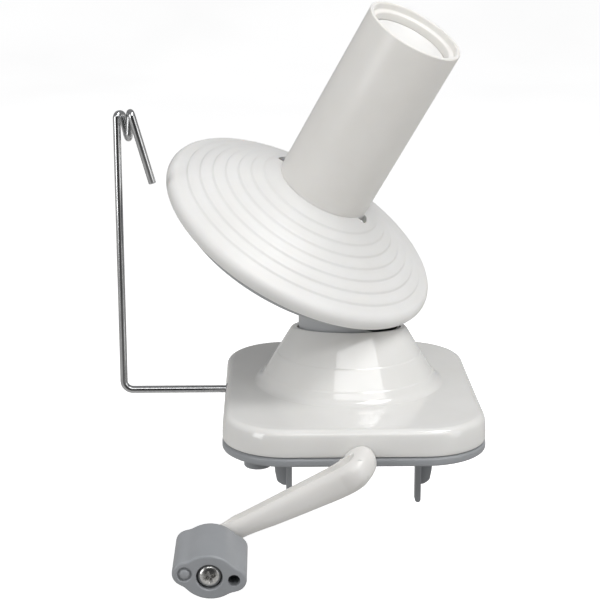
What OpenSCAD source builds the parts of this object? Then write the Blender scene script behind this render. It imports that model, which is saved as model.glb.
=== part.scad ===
// Hand-crank yarn ball winder: a base with a conical neck, a rotor that
// carries an inclined spindle, a crank with a free knob and a wire yarn guide.
// Millimetres. +Z up, -Y the crank side, +X to the right of the crank side.
// The origin is on the flat tray underside, at the middle of the clamp seat
// between the two fork legs. The modules are drawn about the rotor axis, which
// stands seat_y behind the origin.

/* [Base] */
// width of the cover over X
base_w = 111; // [109:0.2:112]
// depth of the cover over Y
base_d = 133; // [131:0.5:135]
// plan corner radius
base_r = 27.5; // [25:0.5:29]
// height of the flat top of the cover above the tray underside
top_z = 15.5; // [15.4:0.1:16]
// radius of the rounded top edge
edge_r = 3; // [2.5:0.5:3.5]
// height of the neck mouth at its sides
neck_z = 40.2; // [40:0.1:40.5]
// slant of the neck mouth, higher towards the crank side
mouth_slant = 7; // [5:0.5:7.5]

/* [Spindle] */
// angle between spindle and rotor axis
tilt = 32.35; // [32:0.05:32.6]
// height where the two axes cross
apex_z = 122; // [121.8:0.1:122.6]
// outside radius of the winding disc
disc_r = 65; // [64:0.25:66]
// radius of the winding tube
tube_r = 21.3; // [21:0.1:21.6]
// distance from the axes crossing to the tube mouth
tube_top = 58.5; // [50:0.5:62]

/* [Crank] */
// distance between crank axis and knob axis
crank_len = 66.8; // [60:0.2:67]
// angle of the arm below the horizontal
crank_drop = 28; // [20:1:40]
// length of the knob
knob_len = 33; // [30:0.5:34]

/* [Yarn guide] */
// radius of the guide wire
wire_r = 1.65; // [1.5:0.05:1.7]
// reach of the wire from the rotor axis
wire_x = 100.2; // [99:0.2:103]

/* [Hidden] */
$fn = 64;

white = [0.90, 0.89, 0.86];
grey = [0.52, 0.53, 0.55];
steel = [0.72, 0.72, 0.73];
nylon = [0.82, 0.81, 0.76];
dark = [0.16, 0.16, 0.17];

seat_y = 45;
seam_z = 4;
tray_top = 3.7;
lean_az = -34;
wall = 2.6;
front_y = -72.7;
base_cy = front_y + base_d / 2;
ceil_z = top_z - wall;

// crank
crank_z = 4.6;
shaft_r = 2.5;
bush_r = 3.4;
fit = 0.05;
arm_y0 = -74.6;
arm_y1 = -82;
arm_sag = 1.6;
knob_y0 = -87;
knob_y1 = knob_y0 - knob_len;
knob_x = -crank_len * cos(crank_drop);
knob_z = crank_z - crank_len * sin(crank_drop);

// crank bevel pair
n_crank = 32;
n_rotor = 14;
bev_m = 1;
bev_re = bev_m / 2 * sqrt(n_crank * n_crank + n_rotor * n_rotor);
d_crank = atan(n_crank / n_rotor);
d_rotor = 90 - d_crank;
bev_face = 5;
bev_y = -n_rotor * bev_m / 2;
bev_z = crank_z + n_crank * bev_m / 2;

// spindle gear pair, cone tips at the axes crossing
n_sun = 17;
n_planet = 24;
d_sun = atan(sin(tilt) / (n_planet / n_sun + cos(tilt)));
d_planet = tilt - d_sun;
con_re = 57;
con_face = 4.5;
con_m = 2 * con_re * sin(d_sun) / n_sun;

// spindle stations along its axis, zero at the crossing
s_seat = -24.5;
s_rim = -48.5;
rim_t = 4;
rim_c = disc_r - rim_t;
// face of the planet gear towards the disc
s_planet = -(con_re - con_face) * cos(d_planet) + 0.02;
s_dish_top = -55.6;
s_dish_bot = -57.7;
dish_r = 56;
axle_r = 3;
post_r = 2.5;

// from the rotor axis to the clamp seat
module placed() {
  translate([0, seat_y, 0]) children();
}

module on_spindle() {
  translate([0, 0, apex_z]) rotate([0, 0, lean_az]) rotate([0, tilt, 0]) children();
}

module along_y(y0, y1, r) {
  translate([0, y0, 0]) rotate([90, 0, 0]) cylinder(h = y0 - y1, r = r);
}

// straight round bar between two points
module bar(a, b, ra, rb) {
  v = b - a;
  l = norm(v);
  translate(a) rotate([0, acos(v[2] / l), atan2(v[1], v[0])])
    cylinder(h = l, r1 = ra, r2 = rb);
}

module plan(w, d, r) {
  translate([0, base_cy]) {
    square([w - 2 * r, d], center = true);
    square([w, d - 2 * r], center = true);
    for (sx = [-1, 1], sy = [-1, 1])
      translate([sx * (w / 2 - r), sy * (d / 2 - r)]) circle(r);
  }
}

// plan block with a rounded top edge
module soft_block(w, d, r, z0, z1, f) {
  translate([0, 0, z0]) linear_extrude(z1 - f - z0) plan(w, d, r);
  translate([0, 0, z0]) linear_extrude(z1 - z0) plan(w - 2 * f, d - 2 * f, r - f);
  for (sx = [-1, 1], sy = [-1, 1])
    translate([sx * (w / 2 - r), base_cy + sy * (d / 2 - r), z1 - f])
      rotate_extrude() translate([r - f, 0]) circle(f);
  for (sx = [-1, 1])
    translate([sx * (w / 2 - f), base_cy, z1 - f]) rotate([90, 0, 0])
      cylinder(h = d - 2 * r, r = f, center = true);
  for (sy = [-1, 1])
    translate([0, base_cy + sy * (d / 2 - f), z1 - f]) rotate([0, 90, 0])
      cylinder(h = w - 2 * r, r = f, center = true);
}

// involute tooth outline in the plane of the large end of a conical gear
function inv(a) = tan(a) * 180 / PI - a;
function tooth_half(n, m, d, h, bl) =
  let (rv = n * m / 2 / cos(d), rb = rv * cos(20), q = rv + h,
       half = (PI * m / 2 - bl) / 2 / rv * 180 / PI)
  (half + inv(20) - (q > rb ? inv(acos(rb / q)) : 0)) / cos(d);
function tooth_rad(n, m, d, re, h) =
  d == 0 ? n * m / 2 + h : re * cos(d) * tan(d + atan(h / re));
function gear_pts(n, m, d, re, ha, hf, bl) =
  [for (i = [0:n - 1]) each concat(
    [for (k = [0:4]) let (h = -hf + k * (ha + hf) / 4, a = i * 360 / n - tooth_half(n, m, d, h, bl),
      q = tooth_rad(n, m, d, re, h)) [q * cos(a), q * sin(a)]],
    [for (k = [4:-1:0]) let (h = -hf + k * (ha + hf) / 4, a = i * 360 / n + tooth_half(n, m, d, h, bl),
      q = tooth_rad(n, m, d, re, h)) [q * cos(a), q * sin(a)]])];

module cone_gear(n, m, d, re, face, bl) {
  z0 = re * cos(d);
  h = face * cos(d);
  linear_extrude(height = h, scale = (z0 - h) / z0)
    polygon(gear_pts(n, m, d, re, 0.8 * m, 1.05 * m, bl));
}

screw_xy = [[43, -36], [-43, -36], [41, 40], [-41, 40]];

// neck: a cone about the rotor axis, cut off by the slanted mouth
neck_ri = 23.0;
function neck_r(z) = 25.4 + (40 - z) * 0.6;
module neck_form(z0, z1, d0, d1) {
  translate([0, 0, z0]) cylinder(h = z1 - z0, r1 = neck_r(z0) + d0, r2 = neck_r(z1) + d1);
}

module base_cover() {
  color(white) difference() {
    union() {
      difference() {
        union() {
          soft_block(base_w, base_d, base_r, seam_z, top_z, edge_r);
          neck_form(top_z - 1, 44.5, 0, 0);
          // flare at the foot
          neck_form(top_z - 0.3, top_z + 3, 1.9, 0.1);
        }
        translate([0, 0, seam_z - 1]) linear_extrude(ceil_z - seam_z + 1)
          plan(base_w - 2 * wall, base_d - 2 * wall, base_r - wall);
        neck_form(ceil_z - 0.5, 36.5, -2.4, -2.4);
        translate([0, 0, 20]) cylinder(h = 40, r = neck_ri);
        translate([0, 0, neck_z]) rotate([-mouth_slant, 0, 0])
          translate([-60, -60, 0]) cube([120, 120, 40]);
      }
      for (p = screw_xy) translate([p[0], p[1], tray_top + 0.05])
        cylinder(h = ceil_z - tray_top + 0.5, r = 4);
      // web that backs the front shaft sleeve
      translate([-6, front_y + 1, 5]) cube([12, 7.5, 6.5]);
      // socket block for the guide sleeve
      translate([-base_w / 2 + 1, -8, 8.6]) cube([13, 8, ceil_z - 8.2]);
    }
    for (p = screw_xy) translate([p[0], p[1], tray_top - 1]) cylinder(h = 9, r = 1.32);
    translate([0, 0, crank_z]) along_y(front_y + 9, front_y - 2, bush_r + fit);
    translate([-bush_r - fit, front_y - 2, 2])
      cube([2 * (bush_r + fit), 11, crank_z - 2]);
    translate([-base_w / 2 - 3, -4, 12.4]) rotate([0, 90, 0]) cylinder(h = 18, r = 2.45);
  }
}

well_x = 19.6;
well_y0 = -17;
well_y1 = 7.4;
well_z = -14.9;

module base_tray() {
  color(grey) difference() {
    union() {
      linear_extrude(1) plan(base_w - 1, base_d - 1, base_r - 1.1);
      translate([0, 0, 0.5]) linear_extrude(tray_top - 0.5)
        plan(base_w + 0.2, base_d + 0.2, base_r + 0.1);
      // locating lip inside the cover
      translate([0, 0, 1]) linear_extrude(5)
        plan(base_w - 2 * wall - 0.6, base_d - 2 * wall - 0.6, base_r - wall - 0.3);
      // gear well
      translate([0, 0, well_z]) linear_extrude(1 - well_z) well_plan(0);
    }
    difference() {
      translate([0, 0, 2]) linear_extrude(10)
        plan(base_w - 2 * wall - 3, base_d - 2 * wall - 3, base_r - wall - 1.5);
      for (p = screw_xy) translate([p[0], p[1], 0]) cylinder(h = tray_top, r = 5);
      // saddle under the rear shaft sleeve
      translate([-5.5, -27, 0]) cube([11, 8, crank_z]);
      // saddle under the front shaft sleeve
      translate([-5.5, front_y, 0]) cube([11, 9.5, crank_z]);
      linear_extrude(6) well_rim();
    }
    translate([0, 0, well_z + 1.7]) linear_extrude(30) well_plan(1.7);
    // half holes for the shaft sleeves
    translate([0, 0, crank_z]) along_y(-14, front_y - 3, bush_r + fit);
    translate([-bush_r - fit, front_y - 3, crank_z]) cube([2 * (bush_r + fit), 62, 4]);
    for (p = screw_xy) translate([p[0], p[1], -1]) {
      cylinder(h = 8, r = 1.6);
      cylinder(h = 2.9, r = 3.2);
    }
    // shallow groove round the clamp seat
    translate([0, -seat_y, -1]) linear_extrude(1.5) difference() {
      square([46, 22], center = true);
      square([43.6, 19.6], center = true);
    }
    // clearance for the cover web above the front sleeve
    translate([-6.3, front_y + 0.7, crank_z]) cube([12.6, 9, 4]);
    translate([-base_w / 2 + 1, -8.4, tray_top]) cube([14, 8.8, 5]);
  }
  // foot of the centre post
  color(grey) difference() {
    translate([0, 0, well_z + 1]) cylinder(h = 5.6, r = 4.3);
    translate([0, 0, well_z + 1.7]) cylinder(h = 8, r = 3.22);
  }
}

module well_plan(t) {
  r = 5 - t * 0.5;
  w = 2 * (well_x - t);
  translate([0, (well_y0 + well_y1) / 2]) {
    square([w - 2 * r, well_y1 - well_y0 - 2 * t], center = true);
    square([w, well_y1 - well_y0 - 2 * t - 2 * r], center = true);
    for (sx = [-1, 1], sy = [-1, 1])
      translate([sx * (w / 2 - r), sy * ((well_y1 - well_y0) / 2 - t - r)]) circle(r);
  }
}

module well_rim() {
  difference() {
    well_plan(0);
    well_plan(1.7);
  }
}

// leg of the clamp fork: a prong with a round tip and a side fin
module fork(s) {
  mirror([s < 0 ? 1 : 0, 0, 0]) {
    translate([0, -42, 0]) rotate([90, 0, 0]) linear_extrude(5) union() {
      translate([26.2, -24.4]) square([2.5, 24.4]);
      translate([27.45, -24.4]) circle(1.25);
    }
    translate([0, -42, 0]) rotate([90, 0, 0]) linear_extrude(2.6) union() {
      translate([27.5, -14]) square([6.3, 14]);
      translate([27.5, -18.2]) square([2.2, 6]);
      translate([29.6, -14]) circle(4.2);
    }
  }
}

module clamp_fork_left() { color(grey) fork(-1); }
module clamp_fork_right() { color(grey) fork(1); }

module foot_pad() {
  color(grey) translate([-40.6, -58.2, -4.2]) {
    translate([0, 0, 0.5]) cylinder(h = 3.7, r = 5.7);
    cylinder(h = 2, r1 = 5.2, r2 = 5.7);
  }
}

module tray_screws() {
  color(steel) for (p = screw_xy) translate([p[0], p[1], 0]) difference() {
    union() {
      translate([0, 0, 0.2]) cylinder(h = 1.7, r = 2.7);
      translate([0, 0, 1]) cylinder(h = 10, r = 1.3);
    }
    for (a = [0, 90]) rotate(a) translate([-1.6, -0.3, -0.8]) cube([3.2, 0.6, 1.8]);
  }
}

module crank_bushes() {
  color(nylon) translate([0, 0, crank_z]) for (y = [-20, front_y + 7.5]) difference() {
    along_y(y, y - 6, bush_r);
    along_y(y + 1, y - 7, shaft_r + fit);
  }
}

module crank_shaft() {
  color(steel) translate([0, 0, crank_z]) along_y(-4.2, arm_y1 - 2, shaft_r);
}

module crank_gear() {
  color(nylon) translate([0, 0, crank_z]) difference() {
    union() {
      translate([0, bev_y, 0]) rotate([-90, 0, 0]) intersection() {
        cone_gear(n_crank, bev_m, d_crank, bev_re, bev_face, 0.36);
        translate([0, 0, -1]) cylinder(h = 8, r = 16.9);
      }
      along_y(bev_y, bev_y - 2.6, 13.2);
      along_y(bev_y, bev_y - 6.6, 6);
    }
    along_y(2, -20, shaft_r + 0.02);
    along_y(2, bev_y + 0.4, 10.2);
  }
}

// tapered arm outline between two round ends
module arm_plan(l, ra, rb) {
  a = acos((ra - rb) / l);
  ka = ra - 0.06;
  kb = rb - 0.06;
  circle(ra);
  translate([-l, 0]) circle(rb);
  polygon([[-ka * cos(a), ka * sin(a)], [-l - kb * cos(a), kb * sin(a)],
    [-l - kb * cos(a), -kb * sin(a)], [-ka * cos(a), -ka * sin(a)]]);
}

module crank_arm() {
  color(white) difference() {
    union() {
      translate([0, 0, crank_z]) along_y(arm_y0, arm_y1, 6.6);
      // the arm is deeper below its axis near the elbow
      translate([0, arm_y1 + 3.4, crank_z]) rotate([90, 0, 0]) rotate(crank_drop)
        translate([-4, -arm_sag]) rotate(-atan(arm_sag / (crank_len - 4)))
          linear_extrude(8) arm_plan(norm([crank_len - 4, arm_sag]), 6.7, 4.9);
    }
    // open channel along the upper edge of the arm
    translate([0, arm_y1, crank_z]) rotate([0, -crank_drop, 0])
      translate([-crank_len + 7.5, -3.3, 3.3]) cube([crank_len - 16, 5.7, 6]);
    translate([0, 0, crank_z]) along_y(arm_y0 + 1, arm_y1 - 2, shaft_r + 0.02);
    translate([knob_x, 0, knob_z]) along_y(arm_y1 + 10, knob_y0 - 1, 2.02);
  }
}

module knob_screw() {
  color(steel) translate([knob_x, 0, knob_z]) difference() {
    union() {
      along_y(arm_y1 + 3, knob_y1 + 3, 2);
      translate([0, knob_y1 + 3.2, 0]) rotate([90, 0, 0]) {
        cylinder(h = 1.6, r = 4.3);
        translate([0, 0, 1.6]) cylinder(h = 1.1, r1 = 4.3, r2 = 3);
      }
    }
    translate([0, knob_y1 + 1.9, 0]) rotate([90, 0, 0]) for (a = [20, 110])
      rotate(a) translate([-2.2, -0.5, 0]) cube([4.4, 1, 3]);
  }
}

// rounded rhombus outline of the knob
kr = 9.25;
ke = 5;
kx = 10.2;
module knob_plan() {
  a = acos((kr - ke) / kx);
  circle(kr);
  for (s = [-1, 1]) translate([s * kx, 0]) circle(ke);
  k1 = kr - 0.06;
  k2 = ke - 0.06;
  polygon([for (s = [[1, 1], [-1, 1], [-1, -1], [1, -1]]) each
    (s[0] * s[1] > 0
      ? [[s[0] * (kx + k2 * cos(a)), s[1] * k2 * sin(a)], [s[0] * k1 * cos(a), s[1] * k1 * sin(a)]]
      : [[s[0] * k1 * cos(a), s[1] * k1 * sin(a)], [s[0] * (kx + k2 * cos(a)), s[1] * k2 * sin(a)]])]);
}

module at_knob() {
  translate([knob_x, knob_y0, knob_z]) rotate([90, 0, 0]) rotate(-8) children();
}

module knob() {
  color(grey) at_knob() difference() {
    linear_extrude(knob_len) knob_plan();
    translate([0, 0, -1]) cylinder(h = knob_len + 2, r = 2.05);
    translate([0, 0, knob_len - 3.5]) cylinder(h = 8, r = 5.1);
    translate([-kx, 0, knob_len - 0.8]) cylinder(h = 3, r = 2.8);
    translate([-kx, 0, knob_len - 6]) cylinder(h = 8, r = 2.02);
    translate([kx, 0, knob_len - 7]) cylinder(h = 9, r = 2.1);
  }
}

module knob_peg() {
  color(grey) at_knob() translate([-kx, 0, knob_len - 6]) {
    cylinder(h = 5.3, r = 2);
    translate([0, 0, 5.3]) cylinder(h = 0.7, r1 = 2, r2 = 1.4);
  }
}

module centre_post() {
  color(steel) {
    translate([0, 0, well_z + 1.75]) cylinder(h = 14.4 - well_z - 1.75, r = 3.2);
    translate([0, 0, 14.3]) cylinder(h = 61, r = post_r);
  }
}

module thrust_washer() {
  color(nylon) difference() {
    translate([0, 0, 14.45]) cylinder(h = 1, r = 4);
    translate([0, 0, 14]) cylinder(h = 2, r = post_r + 0.02);
  }
}

module sun_gear() {
  z0 = apex_z - con_re * cos(d_sun);
  color(nylon) difference() {
    translate([0, 0, z0]) rotate(lean_az) cone_gear(n_sun, con_m, d_sun, con_re, con_face, 0.5);
    translate([0, 0, z0 - 1]) cylinder(h = 12, r = post_r + 0.02);
  }
}

module post_nut() {
  z0 = apex_z - con_re * cos(d_sun) + con_face * cos(d_sun);
  color(steel) difference() {
    translate([0, 0, z0 + 0.05]) cylinder(h = 2.6, r = 4.2, $fn = 6);
    translate([0, 0, z0 - 1]) cylinder(h = 6, r = post_r + 0.02);
  }
}

module guide_bush() {
  color(nylon) translate([-base_w / 2 + 2.7, -4, 12.4]) rotate([0, 90, 0]) difference() {
    cylinder(h = 11, r = 2.4);
    translate([0, 0, -1]) cylinder(h = 14, r = wire_r + fit);
  }
}

collar_r = 22.4;
module below_dish(s) {
  on_spindle() translate([-120, -120, s - 200]) cube([240, 240, 200]);
}

module rotor_body() {
  color(grey) difference() {
    union() {
      difference() {
        union() {
          intersection() {
            translate([0, 0, 27]) cylinder(h = 63, r = collar_r);
            below_dish(s_dish_top - 0.4);
          }
          translate([0, 0, 27]) cylinder(h = 15.5, r = collar_r);
          on_spindle() translate([0, 0, s_dish_bot])
            cylinder(h = s_dish_top - s_dish_bot, r = dish_r, $fn = 96);
        }
        intersection() {
          translate([0, 0, 20]) cylinder(h = 70, r = collar_r - 2.4);
          below_dish(s_dish_bot - 2.3);
        }
      }
      // sleeve on the post
      intersection() {
        translate([0, 0, bev_z + 0.05]) cylinder(h = 50, r = 5);
        below_dish(s_dish_top);
      }
      // boss of the inclined axle
      on_spindle() translate([0, 0, -64.5]) cylinder(h = 64.5 + s_dish_top, r = 7);
    }
    translate([0, 0, 10]) cylinder(h = 80, r = post_r + fit);
    on_spindle() translate([0, 0, -62.5]) cylinder(h = 20, r = axle_r + 0.02);
  }
}

module rotor_pinion() {
  color(nylon) difference() {
    translate([0, 0, bev_z]) mirror([0, 0, 1])
      cone_gear(n_rotor, bev_m, d_rotor, bev_re, bev_face, 0.36);
    translate([0, 0, bev_z - 12]) cylinder(h = 20, r = post_r + fit);
  }
}

module spindle_axle() {
  color(steel) on_spindle() {
    translate([0, 0, -62.4]) cylinder(h = 62.4 - 19, r = axle_r);
  }
}

module axle_nut() {
  color(steel) on_spindle() difference() {
    union() {
      translate([0, 0, s_seat + 0.35]) cylinder(h = 0.9, r = 6);
      translate([0, 0, s_seat + 1.2]) cylinder(h = 3, r = 5, $fn = 6);
    }
    translate([0, 0, s_seat - 1]) cylinder(h = 10, r = axle_r + 0.02);
  }
}

// mean cone of the disc top
function disc_s(r) = s_seat + (s_rim + rim_t - s_seat) * (r - tube_r) / (rim_c - tube_r);
ridge0 = 27.7;
ridge_p = 5;
module winding_disc() {
  top = concat([[3.05, s_seat], [tube_r + 1.2, s_seat]],
    [for (k = [0:6]) each [[ridge0 + k * ridge_p, disc_s(ridge0 + k * ridge_p) + 0.25],
      [ridge0 + k * ridge_p + 0.3, disc_s(ridge0 + k * ridge_p) - 0.25]]],
    [for (i = [0:12]) let (a = 75 - i * 14)
      [rim_c + rim_t * cos(a), s_rim + rim_t * sin(a)]]);
  under = [[rim_c - 1.2, s_rim - rim_t + 0.4], [rim_c - 1.6, s_rim + 0.5],
    [rim_c - 3, disc_s(rim_c - 3) - 2.2], [tube_r + 1, disc_s(tube_r) - 2.9], [12, disc_s(tube_r) - 3],
    [10, disc_s(tube_r) - 4], [10, s_planet], [3.05, s_planet]];
  color(white) on_spindle() difference() {
    rotate_extrude($fn = 128) polygon(concat(top, under));
    // yarn notches at the tube foot
    for (a = [4, 190]) rotate(a) translate([tube_r + 0.1, -3.2, -28.2]) cube([3, 6.4, 8]);
    for (a = [60, 180, 300]) rotate(a) translate([7, 0, s_planet - 1]) cylinder(h = 12, r = 0.95);
  }
}

module winding_tube() {
  color(white) on_spindle() rotate_extrude($fn = 96) polygon([
    [tube_r - 2.2, s_seat + 0.02], [tube_r, s_seat + 0.02], [tube_r, tube_top - 0.6],
    [tube_r - 0.6, tube_top], [tube_r - 1.5, tube_top], [tube_r - 2, tube_top - 1.2],
    [tube_r - 2, tube_top - 2.6], [tube_r - 4, tube_top - 3.4], [tube_r - 4, tube_top - 6],
    [tube_r - 2.2, tube_top - 7.5]]);
}

module tube_cap() {
  color(white) on_spindle() rotate_extrude($fn = 96) polygon([
    [0, tube_top - 12.5], [tube_r - 2.3, tube_top - 12.5], [tube_r - 2.3, tube_top - 8.2],
    [tube_r - 4.6, tube_top - 6.2], [tube_r - 5.2, tube_top - 6.2],
    [14.5, tube_top - 8.2], [10, tube_top - 9.3], [5, tube_top - 10], [0, tube_top - 10.2]]);
}

module planet_gear() {
  z0 = -con_re * cos(d_planet);
  color(nylon) on_spindle() difference() {
    translate([0, 0, z0]) cone_gear(n_planet, con_m, d_planet, con_re, con_face, 0.5);
    translate([0, 0, z0 - 1]) cylinder(h = 12, r = axle_r + fit);
    for (a = [60, 180, 300]) rotate(a) translate([7, 0, z0 - 1]) {
      cylinder(h = 12, r = 1.05);
      cylinder(h = 2.6, r = 2.1);
    }
  }
}

module disc_screws() {
  z0 = -con_re * cos(d_planet);
  color(steel) on_spindle() for (a = [60, 180, 300]) rotate(a) translate([7, 0, z0]) {
    translate([0, 0, 0.3]) cylinder(h = 1.25, r = 2);
    translate([0, 0, 1]) cylinder(h = 11, r = 0.9);
  }
}

// bent wire: arm out of the base, upright, and the open double eye at the top
function unit(v) = v / norm(v);
function turn(a, b, c) = acos(unit(b - a) * unit(c - b));
// length of straight taken up by the bend at corner i
function bend_len(p, r, i) = i == 0 || i == len(p) - 1 ? 0 : r[i] * tan(turn(p[i - 1], p[i], p[i + 1]) / 2);

module bent_wire(p, r, w) {
  for (i = [0:len(p) - 2]) {
    u = unit(p[i + 1] - p[i]);
    // each straight runs a little way into the bends, which are a hair thicker
    bar(p[i] + u * (bend_len(p, r, i) - (i == 0 ? 0 : 0.25)),
      p[i + 1] - u * (bend_len(p, r, i + 1) - (i == len(p) - 2 ? 0 : 0.25)), w, w);
  }
  for (i = [1:len(p) - 2]) {
    u = unit(p[i] - p[i - 1]);
    v = unit(p[i + 1] - p[i]);
    k = unit(cross(u, v));
    o = cross(k, u);
    start = p[i] - u * bend_len(p, r, i);
    // the bend starts at the side opposite to the inward direction o
    x = -o;
    y = cross(k, x);
    translate(start + o * r[i])
      rotate(x[2] < -0.99999 ? [atan2(y[0], y[1]), 90, 0]
        : [atan2(y[2], k[2]), asin(-x[2]), atan2(x[1], x[0])])
        rotate_extrude(angle = turn(p[i - 1], p[i], p[i + 1])) translate([r[i], 0]) circle(w + 0.04);
  }
}

module yarn_guide() {
  y = -4;
  z0 = 12.4;
  x = -wire_x;
  pts = [[-base_w / 2 + 12.5, y, z0], [x, y, z0], [x, y, 135], [x + 2, y + 3.5, 135],
    [x + 4.2, y + 3.4, 125], [x + 5, y - 0.55, 125], [x + 5.8, y - 0.6, 136],
    [x + 6.5, y - 4.6, 136], [x + 15, y - 4.8, 106]];
  color(steel) bent_wire(pts, [0, 4, 1.75, 1.75, 1.75, 1.75, 1.75, 1.75, 0], wire_r);
}

placed() base_cover();
placed() base_tray();
placed() clamp_fork_left();
placed() clamp_fork_right();
placed() foot_pad();
placed() tray_screws();
placed() crank_bushes();
placed() centre_post();
placed() sun_gear();
placed() post_nut();
placed() thrust_washer();
placed() guide_bush();
placed() crank_shaft();
placed() crank_gear();
placed() crank_arm();
placed() knob_screw();
placed() knob();
placed() knob_peg();
placed() rotor_body();
placed() rotor_pinion();
placed() spindle_axle();
placed() axle_nut();
placed() winding_disc();
placed() winding_tube();
placed() tube_cap();
placed() planet_gear();
placed() disc_screws();
placed() yarn_guide();
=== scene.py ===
import math
import bmesh
import bpy
from mathutils import Matrix, Vector


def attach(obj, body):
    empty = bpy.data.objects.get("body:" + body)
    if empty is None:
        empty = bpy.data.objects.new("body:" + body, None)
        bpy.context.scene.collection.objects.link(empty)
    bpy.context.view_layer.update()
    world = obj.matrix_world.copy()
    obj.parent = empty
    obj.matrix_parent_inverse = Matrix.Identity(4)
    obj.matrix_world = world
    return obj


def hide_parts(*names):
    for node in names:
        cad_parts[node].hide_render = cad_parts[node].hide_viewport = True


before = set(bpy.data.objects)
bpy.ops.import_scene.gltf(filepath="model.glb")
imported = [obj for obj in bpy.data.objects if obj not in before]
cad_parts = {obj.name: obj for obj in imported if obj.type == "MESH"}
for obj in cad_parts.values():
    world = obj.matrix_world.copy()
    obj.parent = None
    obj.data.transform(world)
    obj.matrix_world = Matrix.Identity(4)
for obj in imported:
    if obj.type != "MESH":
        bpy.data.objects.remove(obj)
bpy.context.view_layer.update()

# ---------------------------------------------------------------- dimensions
# Millimetres about the rotor axis, which stands SEAT behind the row's origin.
SEAT = 45.0
BASE_W, BASE_D, BASE_R, BASE_CY = 111.0, 133.0, 27.5, -6.2
TOP_Z, EDGE_R = 15.6, 3.2
APEX_Z, TILT, LEAN = 122.0, 32.35, -34.0
TUBE_R, TUBE_TOP, S_SEAT = 21.3, 58.5, -24.5
S_RIM, RIM_T, DISC_R = -48.5, 4.0, 65.0
CRANK_Z, CRANK_LEN, CRANK_DROP = 4.6, 66.8, math.radians(28.0)
KNOB_X = -CRANK_LEN * math.cos(CRANK_DROP)
KNOB_Z = CRANK_Z - CRANK_LEN * math.sin(CRANK_DROP)
FLOOR_Z = -88.0

MM = Matrix.Scale(0.001, 4)
ROTOR = MM @ Matrix.Translation((0, SEAT, 0))
SPINDLE = (MM @ Matrix.Translation((0, SEAT, APEX_Z)) @ Matrix.Rotation(math.radians(LEAN), 4, "Z")
           @ Matrix.Rotation(math.radians(TILT), 4, "Y"))


# ------------------------------------------------------------------- meshing
def rounded(pts, radii, seg=5, closed=True):
    """Polyline with each corner replaced by a tangent arc of seg + 1 points."""
    n = len(pts)
    out = []
    for i, p in enumerate(pts):
        p = Vector(p)
        r = radii[i] if isinstance(radii, (list, tuple)) else radii
        if r <= 0 or (not closed and i in (0, n - 1)):
            out.append(p)
            continue
        a, b = Vector(pts[i - 1]), Vector(pts[(i + 1) % n])
        u, v = (a - p), (b - p)
        lu, lv = u.length, v.length
        u, v = u / lu, v / lv
        cosang = max(-1.0, min(1.0, u.dot(v)))
        ang = math.acos(cosang)
        if math.pi - ang < 0.02:
            out += [p] * (seg + 1)
            continue
        t = min(r / math.tan(ang / 2), 0.49 * lu, 0.49 * lv)
        rr = t * math.tan(ang / 2)
        c = p + (u + v).normalized() * (rr / math.sin(ang / 2))
        s, e = p + u * t - c, p + v * t - c
        sweep = math.pi - ang
        for k in range(seg + 1):
            f = k / seg
            out.append(c + (s * math.sin((1 - f) * sweep) + e * math.sin(f * sweep)) / math.sin(sweep))
    return out


def mesh_object(name, verts, faces, matrix, angle=32.0):
    me = bpy.data.meshes.new(name)
    me.from_pydata([matrix @ Vector(v) for v in verts], [], faces)
    bm = bmesh.new()
    bm.from_mesh(me)
    bmesh.ops.remove_doubles(bm, verts=bm.verts, dist=2e-7)
    bmesh.ops.recalc_face_normals(bm, faces=bm.faces)
    bm.to_mesh(me)
    bm.free()
    ob = bpy.data.objects.new(name, me)
    bpy.context.scene.collection.objects.link(ob)
    shade(ob, angle)
    return ob


def shade(ob, angle):
    me = ob.data
    me.polygons.foreach_set("use_smooth", [True] * len(me.polygons))
    me.set_sharp_from_angle(angle=math.radians(angle))
    me.update()


def loft(rings, cap_start=False, cap_end=False, closed=True):
    n = len(rings[0])
    verts = [p for r in rings for p in r]
    faces = []
    for i in range(len(rings) - 1):
        for k in range(n if closed else n - 1):
            a, b = i * n + k, i * n + (k + 1) % n
            faces.append((a, b, b + n, a + n))
    if cap_start:
        faces.append(tuple(range(n - 1, -1, -1)))
    if cap_end:
        o = (len(rings) - 1) * n
        faces.append(tuple(range(o, o + n)))
    return verts, faces


def revolve(name, profile, matrix, seg=192, angle=32.0, closed=True):
    """Profile of (radius, height) points turned about the local Z axis."""
    rings = []
    for k in range(seg):
        a = 2 * math.pi * k / seg
        c, s = math.cos(a), math.sin(a)
        rings.append([(p[0] * c, p[0] * s, p[1]) for p in profile])
    rings.append(rings[0])
    v, f = loft(rings, closed=closed)
    return mesh_object(name, v, f, matrix, angle)


def outline_offset(pts, d):
    """2D closed outline (counter-clockwise) moved inwards by d."""
    n = len(pts)
    out = []
    for i in range(n):
        a, b = Vector(pts[i - 1]), Vector(pts[(i + 1) % n])
        t = (b - a)
        if t.length < 1e-9:
            out.append(Vector(pts[i]))
            continue
        t.normalize()
        out.append(Vector(pts[i]) + Vector((-t.y, t.x)) * d)
    return out


def prism(name, outline, z0, z1, f0, f1, matrix, angle=40.0, seg=4):
    """Outline extruded along local Z with rounded edges f0 below and f1 above."""
    rings = []
    for k in range(seg + 1):
        a = math.pi / 2 * k / seg
        rings.append([(p[0], p[1], z0 + f0 * (1 - math.cos(a))) for p in outline_offset(outline, f0 * (1 - math.sin(a)))])
    for k in range(seg + 1):
        a = math.pi / 2 * k / seg
        rings.append([(p[0], p[1], z1 - f1 * (1 - math.sin(a))) for p in outline_offset(outline, f1 * (1 - math.cos(a)))])
    v, f = loft(rings, True, True)
    return mesh_object(name, v, f, matrix, angle)


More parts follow.
